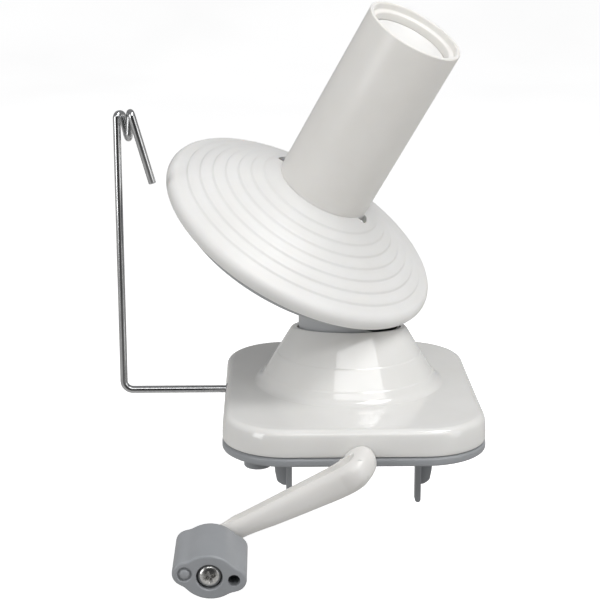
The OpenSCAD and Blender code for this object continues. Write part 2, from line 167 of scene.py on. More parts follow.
def cut(ob, cutters, angle=32.0, bevel=0.0):
    """Booleans applied to the mesh; the cutters are removed."""
    for c in cutters:
        m = ob.modifiers.new("cut", "BOOLEAN")
        m.operation = "DIFFERENCE"
        m.solver = "EXACT"
        m.object = c
    if bevel:
        m = ob.modifiers.new("edge", "BEVEL")
        m.limit_method = "ANGLE"
        m.angle_limit = math.radians(38)
        m.width = bevel * 0.001
        m.segments = 3
        m.use_clamp_overlap = True
    bpy.context.view_layer.update()
    dg = bpy.context.evaluated_depsgraph_get()
    me = bpy.data.meshes.new_from_object(ob.evaluated_get(dg))
    old = ob.data
    ob.modifiers.clear()
    ob.data = me
    bpy.data.meshes.remove(old)
    for c in cutters:
        d = c.data
        bpy.data.objects.remove(c)
        bpy.data.meshes.remove(d)
    shade(ob, angle)
    return ob


def rr_ring(w, d, r, z, n=288, cy=BASE_CY, cx=0.0):
    """Rounded rectangle sampled along rays from the rotor axis."""
    hw, hd = w / 2, d / 2
    pts = []
    for k in range(n):
        a = 2 * math.pi * k / n
        ca, sa = math.cos(a), math.sin(a)
        lo, hi = 0.0, 200.0
        for _ in range(46):
            m = (lo + hi) / 2
            qx = abs(m * ca - cx) - (hw - r)
            qy = abs(m * sa - cy) - (hd - r)
            sd = math.hypot(max(qx, 0), max(qy, 0)) + min(max(qx, qy), 0) - r
            if sd < 0:
                lo = m
            else:
                hi = m
        pts.append((lo * ca, lo * sa, z))
    return pts


def circle_ring(r, z, n=288):
    return [(r * math.cos(2 * math.pi * k / n), r * math.sin(2 * math.pi * k / n), z) for k in range(n)]


# ----------------------------------------------------------------- materials
def new_mat(name):
    m = bpy.data.materials.new(name)
    m.use_nodes = True
    nt = m.node_tree
    return m, nt, nt.nodes["Principled BSDF"]


def noise(nt, vec, scale, detail=3.0, rough=0.5):
    n = nt.nodes.new("ShaderNodeTexNoise")
    n.inputs["Scale"].default_value = scale
    n.inputs["Detail"].default_value = detail
    n.inputs["Roughness"].default_value = rough
    nt.links.new(vec, n.inputs["Vector"])
    return n.outputs["Fac"]


def span(nt, fac, a, b, lo=0.3, hi=0.7):
    n = nt.nodes.new("ShaderNodeMapRange")
    n.inputs["From Min"].default_value = lo
    n.inputs["From Max"].default_value = hi
    n.inputs["To Min"].default_value = a
    n.inputs["To Max"].default_value = b
    nt.links.new(fac, n.inputs["Value"])
    return n.outputs["Result"]


def ramp(nt, fac, stops):
    n = nt.nodes.new("ShaderNodeValToRGB")
    cr = n.color_ramp
    while len(cr.elements) < len(stops):
        cr.elements.new(0.5)
    for e, (pos, col) in zip(cr.elements, stops):
        e.position = pos
        e.color = (*col, 1.0)
    nt.links.new(fac, n.inputs["Fac"])
    return n.outputs["Color"]


def bump(nt, height, strength, distance, normal=None):
    n = nt.nodes.new("ShaderNodeBump")
    n.inputs["Strength"].default_value = strength
    n.inputs["Distance"].default_value = distance
    nt.links.new(height, n.inputs["Height"])
    if normal is not None:
        nt.links.new(normal, n.inputs["Normal"])
    return n.outputs["Normal"]


def coords(nt):
    return nt.nodes.new("ShaderNodeTexCoord").outputs["Object"]


def plastic(name, dark, light, rough, grain=0.05, wave=0.05, coat=0.0, sss=0.0, grain_scale=2600.0, scuff=0.0):
    """Moulded plastic: cloudy tone, fine surface grain, slow waviness of the moulded skin and uneven gloss."""
    m, nt, b = new_mat(name)
    v = coords(nt)
    cloud = noise(nt, v, 38.0, 4.0, 0.55)
    nt.links.new(ramp(nt, cloud, [(0.30, dark), (0.70, light)]), b.inputs["Base Color"])
    gloss = noise(nt, v, 120.0, 5.0, 0.6)
    nt.links.new(span(nt, gloss, rough - 0.04 - scuff, rough + 0.05 + scuff), b.inputs["Roughness"])
    n1 = bump(nt, noise(nt, v, 26.0, 2.0), wave, 0.0006)
    n2 = bump(nt, noise(nt, v, grain_scale, 2.0), grain, 0.00006, n1)
    nt.links.new(n2, b.inputs["Normal"])
    b.inputs["IOR"].default_value = 1.5
    b.inputs["Coat Weight"].default_value = coat
    b.inputs["Coat Roughness"].default_value = 0.03
    if sss:
        b.inputs["Subsurface Weight"].default_value = sss
        b.inputs["Subsurface Radius"].default_value = (0.0022, 0.0018, 0.0013)
        b.inputs["Subsurface Scale"].default_value = 1.0
    return m


def metal(name, dark, light, rough, stretch, scale=900.0, depth=0.08):
    """Drawn or turned metal: streaks along one direction in tone, gloss and relief."""
    m, nt, b = new_mat(name)
    mp = nt.nodes.new("ShaderNodeMapping")
    mp.inputs["Scale"].default_value = stretch
    nt.links.new(coords(nt), mp.inputs["Vector"])
    v = mp.outputs["Vector"]
    streak = noise(nt, v, scale, 4.0, 0.6)
    nt.links.new(ramp(nt, streak, [(0.30, dark), (0.70, light)]), b.inputs["Base Color"])
    nt.links.new(span(nt, noise(nt, v, scale * 0.3, 3.0), rough - 0.04, rough + 0.08), b.inputs["Roughness"])
    nt.links.new(bump(nt, streak, depth, 0.00004), b.inputs["Normal"])
    b.inputs["Metallic"].default_value = 1.0
    return m


WHITE_GLOSS = plastic("white_gloss_plastic", (0.795, 0.788, 0.765), (0.828, 0.823, 0.803), 0.10, 0.02, 0.02, coat=0.4, sss=0.05)
WHITE_SATIN = plastic("white_satin_plastic", (0.800, 0.795, 0.780), (0.835, 0.832, 0.820), 0.42, 0.10, 0.03, sss=0.06)
# lighter copy of the satin white for the tube: its colour is raised as painted light so that the tube reads brighter
TUBE_WHITE_PAINTED_LIGHTER = plastic("tube_white_plastic_painted_lighter", (0.855, 0.838, 0.803), (0.885, 0.870, 0.840), 0.34, 0.05, 0.05, sss=0.06)
ARM_WHITE = plastic("arm_white_plastic", (0.775, 0.760, 0.735), (0.812, 0.800, 0.778), 0.30, 0.05, 0.04, coat=0.1, sss=0.05)
GREY = plastic("grey_plastic", (0.300, 0.312, 0.328), (0.338, 0.350, 0.366), 0.40, 0.12, 0.04)
# lighter copy of the grey plastic for the rotor collar, dish and boss: painted light that brightens the collar where
# it sits in the shade of the disc
GREY_PAINTED_LIGHTER = plastic("grey_plastic_painted_lighter", (0.400, 0.410, 0.422), (0.440, 0.450, 0.462), 0.40, 0.12, 0.04)
GREY_DARK = plastic("grey_pad_plastic", (0.255, 0.265, 0.280), (0.300, 0.310, 0.325), 0.52, 0.20, 0.03)
NYLON = plastic("gear_nylon", (0.66, 0.63, 0.55), (0.72, 0.69, 0.61), 0.45, 0.10, 0.03, sss=0.08)
CHROME = metal("guide_chrome", (0.40, 0.405, 0.415), (0.62, 0.625, 0.63), 0.14, (1.0, 1.0, 0.06), 1500.0)
SCREW = metal("screw_steel", (0.52, 0.515, 0.505), (0.74, 0.735, 0.72), 0.20, (1.0, 0.15, 1.0), 1200.0)
AXLE = metal("axle_steel", (0.42, 0.42, 0.425), (0.62, 0.62, 0.625), 0.28, (1.0, 1.0, 0.08), 1200.0)


def dress(ob, mat, body, slot, *nodes):
    ob.data.materials.clear()
    ob.data.materials.append(mat)
    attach(ob, body)
    if nodes:
        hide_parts(*nodes)
    return ob


def tool(verts_faces, matrix):
    return mesh_object("tool", verts_faces[0], verts_faces[1], matrix)


def cyl_tool(r, z0, z1, matrix, n=64, r1=None):
    r1 = r if r1 is None else r1
    rings = [[(q * math.cos(2 * math.pi * k / n), q * math.sin(2 * math.pi * k / n), z) for k in range(n)]
             for q, z in ((r, z0), (r1, z1))]
    return tool(loft(rings, True, True), matrix)


def box_tool(lo, hi, matrix):
    x0, y0, z0 = lo
    x1, y1, z1 = hi
    rings = [[(x0, y0, z), (x1, y0, z), (x1, y1, z), (x0, y1, z)] for z in (z0, z1)]
    return tool(loft(rings, True, True), matrix)


# ---------------------------------------------------------------- base cover
BORE_R, MOUTH_Z, MOUTH_T = 23.0, 40.2, math.tan(math.radians(7.0))


def top_at(y):
    """Height of the top face, which falls a little towards the crank side."""
    return TOP_Z + 0.006 * y + 0.00019 * max(0.0, y + 20) ** 2


def smooth(x, x0, x1):
    f = max(0.0, min(1.0, (x - x0) / (x1 - x0)))
    return f * f * (3 - 2 * f)


def neck_at(phi, z, d=0.0):
    """Point on the neck flank: a cone about the rotor axis with two fine steps."""
    r = 25.4 + (40 - z) * 0.6 + d
    if d >= 0:
        r += 0.17 * (1 - smooth(z, 28.9, 29.4)) + 0.17 * (1 - smooth(z, 20.1, 20.7))
    return Vector((r * math.cos(phi), r * math.sin(phi), z))


def mouth_corner(phi):
    # where the flank meets the slanted plane of the mouth
    sn = math.sin(phi)
    return neck_at(phi, (MOUTH_Z - MOUTH_T * 49.4 * sn) / (1 - MOUTH_T * 0.6 * sn))


def base_cover():
    n = 288
    edge = [(0.42 + EDGE_R * (1 - math.cos(math.pi / 2 * k / 10)), EDGE_R * (math.sin(math.pi / 2 * k / 10) - 1)) for k in range(1, 11)]
    wall = [(2.6, 4.3), (2.3, 4.02), (0.55, 4.0), (0.25, 4.1), (0.08, 4.4), (0.0, 5.2), (0.02, 7.0), (0.10, 9.0), (0.22, 10.7), (0.36, 12.0)]
    ring = {}
    for d in [w[0] for w in wall] + [e[0] for e in edge]:
        ring[d] = rr_ring(BASE_W - 2 * d, BASE_D - 2 * d, BASE_R - d, 0.0, n)
    cols = []
    for k in range(n):
        phi = 2 * math.pi * k / n
        col = [Vector((*ring[d][k][:2], z)) for d, z in wall]
        for d, dz in edge:
            x, y, _ = ring[d][k]
            col.append(Vector((x, y, top_at(y) + dz)))
        # fillet at the foot of the neck
        foot = []
        for i in range(13):
            a = math.pi / 2 * i / 12
            q = neck_at(phi, TOP_Z + 2.8 * (1 - math.cos(a)), 2.0 * (1 - math.sin(a)))
            q.z = top_at(q.y) + 2.8 * (1 - math.cos(a))
            foot.append(q)
        outer = col[-1]
        for f in (0.12, 0.4, 0.7, 0.92):
            q = outer.lerp(foot[0], f)
            q.z = top_at(q.y)
            col.append(q)
        col += foot
        # flank, rounded shoulder, mouth and bore
        c = mouth_corner(phi)
        low = neck_at(phi, c.z - 4.0)
        for z in (19.9, 20.1, 20.25, 20.4, 20.55, 20.7, 20.9, 24.5, 28.7, 28.9, 29.03, 29.15, 29.27, 29.4, 29.6):
            col.append(neck_at(phi, z))
        col.append(neck_at(phi, (29.6 + low.z) / 2))
        b = Vector((BORE_R * math.cos(phi), BORE_R * math.sin(phi), 0.0))
        b.z = MOUTH_Z - MOUTH_T * b.y
        col += rounded([low, c, b, Vector((b.x, b.y, 35.6))], [0, 2.0, 0.5, 0], 7, closed=False)
        # inside of the neck, ceiling and inner wall
        for z in (34.5, 28.0, 21.0, 14.2):
            col.append(neck_at(phi, z, -2.4))
        q = neck_at(phi, 13.0, -2.0)
        col.append(q)
        x, y, _ = ring[2.6][k]
        col.append(Vector((x, y, 13.0)))
        cols.append(col)
    cols.append(cols[0])
    return loft(cols)


cover = mesh_object("cover_shell", *base_cover(), ROTOR, 40)
cover = cut(cover, [
    cyl_tool(3.45, -90, -62, ROTOR @ Matrix.Translation((0, 0, CRANK_Z)) @ Matrix.Rotation(math.radians(-90), 4, "X")),
    cyl_tool(2.45, -60, -50, ROTOR @ Matrix.Translation((0, -4, 12.4)) @ Matrix.Rotation(math.radians(90), 4, "Y")),
], 40)
dress(cover, WHITE_GLOSS, "base", "white_gloss", "base_cover")


# ----------------------------------------------------------------- base tray
def base_tray():
    w, d, r = BASE_W + 0.2, BASE_D + 0.2, BASE_R + 0.1
    rings = []
    for inset, z in [(4.2, 2.2), (4.2, 3.72), (1.5, 3.72), (1.02, 3.68), (0.72, 3.52), (0.3, 3.05), (0.1, 2.76), (0.0, 2.4), (0.0, 0.9),
                     (0.05, 0.55), (0.2, 0.25), (0.45, 0.06), (0.8, 0.0), (6.0, 0.0), (9.0, 0.0)]:
        rings.append(rr_ring(w - 2 * inset, d - 2 * inset, r - inset, z))
    # gear housing under the floor of the tray
    ww, wd, wcy, wr, wz = 39.2, 24.4, -4.8, 5.0, -14.9
    for off, z in [(1.6, 0.0), (0.9, -0.12), (0.45, -0.45), (0.15, -1.0), (0.0, -1.7), (-0.1, -8.0), (-0.2, wz + 1.8),
                   (-0.4, wz + 0.95), (-0.9, wz + 0.35), (-1.6, wz + 0.05), (-2.2, wz)]:
        rings.append(rr_ring(ww + 2 * off, wd + 2 * off, wr + off, z, cy=wcy))
    v, f = loft(rings, True, True)
    return v, f


tray = mesh_object("tray_shell", *base_tray(), ROTOR, 40)
SCREW_XY = [(43, -36), (-43, -36), (41, 40), (-41, 40)]
tray = cut(tray, [cyl_tool(3.2, -2, 1.9, ROTOR @ Matrix.Translation((x, y, 0)), r1=3.2) for x, y in SCREW_XY]
           + [cyl_tool(3.45, -90, -62, ROTOR @ Matrix.Translation((0, 0, CRANK_Z)) @ Matrix.Rotation(math.radians(-90), 4, "X"))]
           # shallow groove round the clamp seat
           + [box_tool((x0, y0, -1.0), (x1, y1, 0.5), MM) for x0, y0, x1, y1 in
              ((-23, -11, 23, -9.8), (-23, 9.8, 23, 11), (-23, -9.9, -21.8, 9.9), (21.8, -9.9, 23, 9.9))], 40)
dress(tray, GREY, "base", "grey_plastic", "base_tray")


# ---------------------------------------------------------------- fork, pad
def arc(cx, cy, r, a0, a1, n=10):
    return [(cx + r * math.cos(math.radians(a0 + (a1 - a0) * k / n)), cy + r * math.sin(math.radians(a0 + (a1 - a0) * k / n))) for k in range(n + 1)]


def fork(name, side, node):
    # prong with a round tip and, beside it, a fin with a round outer corner; both stand in X-Z planes
    prong = [(26.2, 0.4)] + [(27.45 + 1.25 * math.cos(math.radians(180 + 18 * k)), -24.4 + 1.25 * math.sin(math.radians(180 + 18 * k))) for k in range(11)] + [(28.7, 0.4)]
    fin = [(p.x, p.y) for p in rounded([(27.9, 0.4), (27.9, -18.2), (30.0, -18.2), (32.6, -16.4), (33.4, -12.0), (34.4, 0.4)], [0, 0.5, 2.2, 2.4, 5.0, 0], 5)]
    out = []
    for tag, pts, depth in (("_prong", prong, 5.0), ("_fin", fin, 2.6)):
        pts = [(side * x, z) for x, z in pts]
        if area2(pts) < 0:
            pts = pts[::-1]
        # local X -> +X, local Y -> +Z, local Z -> -Y
        m = ROTOR @ Matrix.Translation((0, -42, 0)) @ Matrix(((1, 0, 0, 0), (0, 0, -1, 0), (0, 1, 0, 0), (0, 0, 0, 1)))
        out.append(prism(name + tag, pts, 0, depth, 0.4, 0.4, m))
    a = join(*out)
    a.name = name
    return dress(a, GREY, "base", "grey_plastic", node)


def area2(pts):
    return sum(pts[i - 1][0] * pts[i][1] - pts[i][0] * pts[i - 1][1] for i in range(len(pts)))


def join(a, b):
    bm = bmesh.new()
    bm.from_mesh(a.data)
    bm.from_mesh(b.data)
    bm.to_mesh(a.data)
    bm.free()
    d = b.data
    bpy.data.objects.remove(b)
    bpy.data.meshes.remove(d)
    shade(a, 40)
    return a


fork("fork_left", -1, "clamp_fork_left")
fork("fork_right", 1, "clamp_fork_right")

pad = revolve("pad", rounded([(0, 0.3), (0, -4.1), (5.2, -4.2), (5.68, -3.7), (5.75, 0.3)], [0, 0, 0.35, 0.45, 0], 5),
              ROTOR @ Matrix.Translation((-40.6, -58.2, 0)), 72)
dress(pad, GREY_DARK, "base", "grey_pad", "foot_pad")


# --------------------------------------------------------------------- rotor
def rotor_shell():
    n = 192
    rings = []
    plane_n = Vector((math.sin(math.radians(TILT)) * math.cos(math.radians(LEAN)), math.sin(math.radians(TILT)) * math.sin(math.radians(LEAN)), math.cos(math.radians(TILT))))
    for r, zz in [(20.0, 28.0), (20.2, 27.15), (20.7, 27.0), (21.9, 27.0), (22.3, 27.2), (22.4, 27.7), (22.4, 33.0), (22.4, 40.0), (22.4, None), (22.0, None)]:
        ring = []
        for k in range(n):
            a = 2 * math.pi * k / n
            x, y = r * math.cos(a), r * math.sin(a)
            z = zz
            if z is None:
                z = APEX_Z + (-57.0 - plane_n.x * x - plane_n.y * y) / plane_n.z
            ring.append((x, y, z))
        rings.append(ring)
    return loft(rings)


collar = mesh_object("rotor_collar", *rotor_shell(), ROTOR, 40)
dish = revolve("rotor_dish", rounded([(3.4, -55.6), (52.1, -55.6), (55.6, -55.35), (55.6, -57.7), (3.4, -57.7)], [0, 1.2, 0.8, 0.9, 0], 5), SPINDLE, 192)
boss = revolve("rotor_boss", rounded([(3.2, -54.9), (6.2, -54.9), (6.6, -55.7), (7.0, -58.0), (7.0, -64.5), (0.0, -64.5), (0.0, -62.9), (3.0, -62.9)],
                                     [0, 0.4, 0.2, 0, 0.6, 0, 0, 0], 3), SPINDLE, 64)
join(collar, dish)
join(collar, boss)
collar.name = "rotor_shell"
# the rotor shell wears the lighter grey copy as painted light against the shade of the disc
dress(collar, GREY_PAINTED_LIGHTER, "rotor", "grey_plastic", "rotor_body")


# ---------------------------------------------------------------------- disc
RIM_C = DISC_R - RIM_T


def disc_s(r):
    return S_SEAT + (S_RIM + RIM_T - S_SEAT) * (r - TUBE_R) / (RIM_C - TUBE_R)


def disc_profile():
    top = [(3.06, S_SEAT), (TUBE_R - 2.4, S_SEAT), (TUBE_R + 0.35, S_SEAT), (TUBE_R + 1.6, S_SEAT - 0.1)]
    for k in range(7):
        r = 27.7 + 5 * k
        lift = 0.32
        if k:
            # each ring bellies slightly between its steps
            rm = r - 2.4
            top.append((rm, disc_s(rm) + 0.06))
        top += [(r - 0.25, disc_s(r - 0.25) + lift), (r + 0.05, disc_s(r + 0.05) + lift - 0.1),
                (r + 0.32, disc_s(r + 0.32) - lift + 0.06), (r + 0.62, disc_s(r + 0.62) - lift)]
    for i in range(17):
        a = math.radians(76 - i * 10.4)
        top.append((RIM_C + RIM_T * math.cos(a), S_RIM + RIM_T * math.sin(a)))
    under = [(RIM_C - 1.2, S_RIM - RIM_T + 0.4), (RIM_C - 1.6, S_RIM + 0.5), (RIM_C - 3, disc_s(RIM_C - 3) - 2.2),
             (TUBE_R + 1, disc_s(TUBE_R) - 2.9), (12, disc_s(TUBE_R) - 3), (10, disc_s(TUBE_R) - 4), (10, -49.5), (3.06, -49.5)]
    return [Vector((*p, 0)).to_2d() for p in top + under]


disc = revolve("disc_shell", disc_profile(), SPINDLE, 256, 38)


def notch_tool(deg):
    # round-bottomed scoop beside the tube foot
    m = SPINDLE @ Matrix.Rotation(math.radians(deg), 4, "Z") @ Matrix.Translation((TUBE_R + 0.15, 0, S_SEAT - 3.6))
    pts = [(-3.2, 0.0), (3.2, 0.0)] + [(3.2 * math.cos(math.pi * k / 16), 3.1 * math.sin(math.pi * k / 16)) for k in range(1, 16)]
    rings = [[(p[1], p[0], z) for p in pts] for z in (0.0, 8.0)]
    return tool(loft(rings, True, True), m)


disc = cut(disc, [notch_tool(4), notch_tool(190)], 38)
dress(disc, WHITE_SATIN, "spindle", "white_satin", "winding_disc")

# ---------------------------------------------------------------------- tube
t = TUBE_TOP
tube_prof = rounded([(TUBE_R - 2.2, S_SEAT + 0.02), (TUBE_R, S_SEAT + 0.02), (TUBE_R, t), (TUBE_R - 1.7, t), (TUBE_R - 2.0, t - 2.6),
                     (TUBE_R - 4.0, t - 3.1), (TUBE_R - 4.2, t - 6.2), (TUBE_R - 2.2, t - 8.0)],
                    [0, 0.25, 0.55, 0.5, 0.6, 0.7, 0.3, 0], 5)
tube = revolve("tube_shell", tube_prof, SPINDLE, 192, 40)
# the tube wears the lighter copy of the satin white as painted light
dress(tube, TUBE_WHITE_PAINTED_LIGHTER, "spindle", "white_satin", "winding_tube")
cap_prof = [Vector(p) for p in [(0.0, t - 12.5), (TUBE_R - 2.3, t - 12.5), (TUBE_R - 2.3, t - 8.3), (TUBE_R - 4.5, t - 6.3), (TUBE_R - 5.0, t - 6.2)]]
for k in range(1, 15):
    f = k / 14
    cap_prof.append(Vector(((TUBE_R - 5.0) * (1 - f), t - 6.2 - 4.0 * math.sin(f * math.pi / 2) ** 0.8)))
cap = revolve("tube_cap_dish", cap_prof, SPINDLE, 128, 40)
dress(cap, WHITE_SATIN, "spindle", "white_satin", "tube_cap")

# ----------------------------------------------------------------- crank arm
CD, SD = math.cos(CRANK_DROP), math.sin(CRANK_DROP)
E_T, E_U, E_Y = Vector((-CD, 0, -SD)), Vector((-SD, 0, CD)), Vector((0, -1, 0))


def lerp_table(x, table):
    """Smooth curve through a table of (x, y) pairs."""
    n = len(table)
    if x <= table[0][0]:
        return table[0][1]
    if x >= table[-1][0]:
        return table[-1][1]
    slope = [(table[i + 1][1] - table[i][1]) / (table[i + 1][0] - table[i][0]) for i in range(n - 1)]
    tan = [0.0] * n
    for i in range(1, n - 1):
        if slope[i - 1] * slope[i] > 0:
            tan[i] = 2 * slope[i - 1] * slope[i] / (slope[i - 1] + slope[i])
    for i in range(n - 1):
        x0, x1 = table[i][0], table[i + 1][0]
        if x <= x1:
            h = x1 - x0
            f = (x - x0) / h
            return (table[i][1] * (1 + 2 * f) * (1 - f) ** 2 + tan[i] * h * f * (1 - f) ** 2
                    + table[i + 1][1] * f * f * (3 - 2 * f) + tan[i + 1] * h * f * f * (f - 1))


def arm_section(a, b, g, w):
    """Rounded section with a channel of depth g and angular share w let into its top. (forward, up) pairs."""
    lo, hi = 92 - 18 * w, 92 + 30 * w
    angles = [(lo + (hi - lo) * k / 26, k / 26) for k in range(26)] + [(hi + (360 - hi + lo) * k / 54, -1.0) for k in range(54)]
    pts = []
    for deg, f in angles:
        c, sn = math.cos(math.radians(deg)), math.sin(math.radians(deg))
        x = b * math.copysign(abs(c) ** 0.86, c)
        y = a * math.copysign(abs(sn) ** 0.86, sn)
        # the wall behind the channel ends in a narrow flat lip, a little higher than the front wall
        up = (a + 0.3 - y) * w * smooth(deg, 104, 119) * (1 - smooth(deg, 147, 165))
        y += up
        if f >= 0:
            y -= (g + up) * smooth(f, 0.0, 0.16) * (1 - smooth(f, 0.84, 0.96))
        pts.append(Vector((x, y)))
    return pts


def crank_arm():
    R = 7.2
    y_bend = -75.4
    # hub stub, bend, straight, rounded end: (centre, tangent, distance along the arm)
    stations = [(Vector((0, y, CRANK_Z)), E_Y, 0.0) for y in (-73.4, -74.2, -75.0, -75.4)]
    for k in range(1, 37):
        an = math.pi / 2 * k / 36
        c = E_T * (R * (1 - math.cos(an))) + Vector((0, y_bend, CRANK_Z)) + E_Y * (R * math.sin(an))
        stations.append((c, (E_Y * math.cos(an) + E_T * math.sin(an)).normalized(), R * (1 - math.cos(an))))
    tt = R
    while tt < CRANK_LEN + 4.6:
        tt += 0.5 if tt < 18 else 1.6 if tt < CRANK_LEN - 3 else 0.5
        stations.append((Vector((0, y_bend - R, CRANK_Z)) + E_T * tt, E_T, tt))
    end = stations[-1][2]
    rings = []
    for c, tan, q in stations:
        top = lerp_table(q, [(0, 4.0), (3, 3.6), (12, 3.3), (50, 3.3), (60, 3.8), (72, 3.8)])
        bot = lerp_table(q, [(0, -8.0), (4, -8.9), (9, -9.2), (14, -9.0), (20, -8.5), (30, -7.6), (40, -6.6), (54, -5.0), (72, -4.6)])
        b = lerp_table(q, [(0, 6.4), (3.2, 6.3), (9, 4.7), (30, 4.1), (66, 3.9)])
        g = lerp_table(q, [(0.3, 0.0), (1.4, 1.8), (4.0, 3.6), (9, 2.8), (16, 1.9), (54, 1.5), (62, 0.0)])
        w = lerp_table(q, [(0.3, 0.15), (1.6, 0.75), (4.0, 1.0), (54, 1.0), (62, 0.2)])
        a, uc = (top - bot) / 2, (top + bot) / 2
        if q > CRANK_LEN:
            f = min(1.0, (q - CRANK_LEN) / (end - CRANK_LEN + 0.05))
            k = math.sqrt(max(0.02, 1 - f * f))
            a, b = a * k, b * (0.55 + 0.45 * k)
        # forward axis of the section: towards the outside of the bend
        fwd = E_U.cross(tan)
        if fwd.dot(E_Y * tan.dot(E_T) - E_T * tan.dot(E_Y)) < 0:
            fwd = -fwd
        rings.append([tuple(c + E_U * (uc + p.y) + fwd * p.x) for p in arm_section(a, b, g, w)])
    return loft(rings, True, True)


arm = mesh_object("arm_shell", *crank_arm(), ROTOR, 42)
dress(arm, ARM_WHITE, "crank", "white_gloss", "crank_arm")

# ---------------------------------------------------------------------- knob
KE, KX, KNOB_Y0, KNOB_LEN = 5.0, 9.5, -87.0, 33.0
# local Z -> -Y
KNOB = ROTOR @ Matrix.Translation((KNOB_X, KNOB_Y0, KNOB_Z)) @ Matrix.Rotation(math.radians(90), 4, "X") @ Matrix.Rotation(math.radians(-8), 4, "Z")


def knob_outline(n=160):
    """A lens of two flat arcs with a round lobe at either end, the joints blended."""
    rad = []
    for k in range(n):
        c, sn = abs(math.cos(2 * math.pi * k / n)), abs(math.sin(2 * math.pi * k / n))
        # far crossing of a ray from the middle with the lens and with the lobe
        r = -3.9 * sn + math.sqrt((3.9 * sn) ** 2 + 12.85 ** 2 - 3.9 ** 2)
        disc_l = (KX * c) ** 2 - KX ** 2 + KE ** 2
        if disc_l > 0:
            r = max(r, KX * c + math.sqrt(disc_l))
        rad.append(r)
    for _ in range(9):
        rad = [(rad[k - 1] + 2 * rad[k] + rad[(k + 1) % n]) / 4 for k in range(n)]
    return [(rad[k] * math.cos(2 * math.pi * k / n), rad[k] * math.sin(2 * math.pi * k / n)) for k in range(n)]


knob = prism("knob_shell", knob_outline(), 0, KNOB_LEN, 0.8, 1.15, KNOB, 40, 6)
at_peg, at_hole = KNOB @ Matrix.Translation((-KX, 0, 0)), KNOB @ Matrix.Translation((KX, 0, 0))
knob = cut(knob, [cyl_tool(2.35, KNOB_LEN - 9, KNOB_LEN + 3, at_hole, 48), cyl_tool(5.1, KNOB_LEN - 3.5, KNOB_LEN + 3, KNOB, 72), cyl_tool(4.8, KNOB_LEN - 0.6, KNOB_LEN + 0.3, KNOB, 72, 5.7),
                  cyl_tool(2.75, KNOB_LEN - 0.9, KNOB_LEN + 3, at_peg, 48), cyl_tool(2.5, KNOB_LEN - 0.6, KNOB_LEN + 0.3, at_peg, 48, 3.4),
                  cyl_tool(2.05, -2, KNOB_LEN - 3, KNOB, 32)], 40)
dress(knob, GREY, "handle", "grey_plastic", "knob")
peg = revolve("peg", [Vector(p) for p in [(0, 27.0), (2.0, 27.0), (2.0, 32.3), (1.94, 32.62), (1.75, 32.9), (1.4, 33.12), (0.95, 33.26), (0.45, 33.33), (0, 33.35)]],
              at_peg, 48, 50)
dress(peg, GREY, "handle", "grey_plastic", "knob_peg")

# knob screw: shank and domed head with a cross recess
KSCREW = ROTOR @ Matrix.Translation((KNOB_X, 0, KNOB_Z)) @ Matrix.Rotation(math.radians(90), 4, "X")
h0 = 120.0 - 2.9
head = [(0, 80.5), (2.0, 80.5), (2.0, h0), (4.3, h0), (4.45, h0 + 0.15), (4.45, h0 + 0.9)]
for k in range(1, 9):
    an = math.pi / 2 * k / 8
    head.append((4.45 * math.cos(an) if k < 8 else 0.0, h0 + 0.9 + 1.75 * math.sin(an)))
screw = revolve("knob_screw_turned", [Vector(p) for p in head], KSCREW, 64, 40)
slots = []
for an in (20, 110):
    m = KSCREW @ Matrix.Rotation(math.radians(an), 4, "Z")
    rings = []
    for z, w, l in ((h0 + 0.7, 0.38, 1.1), (h0 + 3.2, 0.92, 3.1)):
        rings.append([(-l, -w, z), (l, -w, z), (l, w, z), (-l, w, z)])
    slots.append(tool(loft(rings, True, True), m))
screw = cut(screw, slots, 35)
dress(screw, SCREW, "crank", "screw_steel", "knob_screw")


# ---------------------------------------------------------------- guide wire
def bend_path(p, radii, seg=10):
    p = [Vector(q) for q in p]
    out = [p[0]]
    for i in range(1, len(p) - 1):
        u, v = (p[i] - p[i - 1]).normalized(), (p[i + 1] - p[i]).normalized()
        ang = math.acos(max(-1, min(1, u.dot(v))))
        tl = radii[i] * math.tan(ang / 2)
        k = u.cross(v).normalized()
        s = p[i] - u * tl
        o = k.cross(u).normalized()
        c = s + o * radii[i]
        for j in range(seg + 1):
            out.append(c + Matrix.Rotation(ang * j / seg, 3, k) @ (s - c))
    out.append(p[-1])
    return out


def tube_along(path, r, n=28):
    rings = []
    t0 = (path[1] - path[0]).normalized()
    ref = Vector((0, 0, 1)) if abs(t0.z) < 0.9 else Vector((1, 0, 0))
    nrm = (ref - t0 * ref.dot(t0)).normalized()
    last = t0
    m = len(path)
    for i, c in enumerate(path):
        if i == 0:
            tan = t0
        elif i == m - 1:
            tan = (path[-1] - path[-2]).normalized()
        else:
            tan = ((path[i] - path[i - 1]).normalized() + (path[i + 1] - path[i]).normalized()).normalized()
        nrm = last.rotation_difference(tan) @ nrm
        nrm = (nrm - tan * nrm.dot(tan)).normalized()
        last = tan
        bi = tan.cross(nrm)
        steps = [(r, 0.0)]
        if i == 0:
            steps = [(r * 0.80, 0.0), (r * 0.95, 0.12), (r, 0.35)]
        if i == m - 1:
            steps = [(r, -0.5), (r * 0.95, -0.2), (r * 0.78, 0.0)]
        for q, off in steps:
            rings.append([tuple(c + tan * off + (nrm * math.cos(2 * math.pi * k / n) + bi * math.sin(2 * math.pi * k / n)) * q) for k in range(n)])
    return loft(rings, True, True)


WX = -100.2
wire_pts = [(-BASE_W / 2 + 12.5, -4, 12.4), (WX, -4, 12.4), (WX, -4, 135), (WX + 2, -0.5, 135), (WX + 4.2, -0.6, 125), (WX + 5, -4.55, 125),
            (WX + 5.8, -4.6, 136), (WX + 6.5, -8.6, 136), (WX + 15, -8.8, 106)]
wire = mesh_object("wire_bent", *tube_along(bend_path(wire_pts, [0, 4, 1.75, 1.75, 1.75, 1.75, 1.75, 1.75, 0]), 1.65), ROTOR, 50)
dress(wire, CHROME, "guide", "guide_chrome", "yarn_guide")

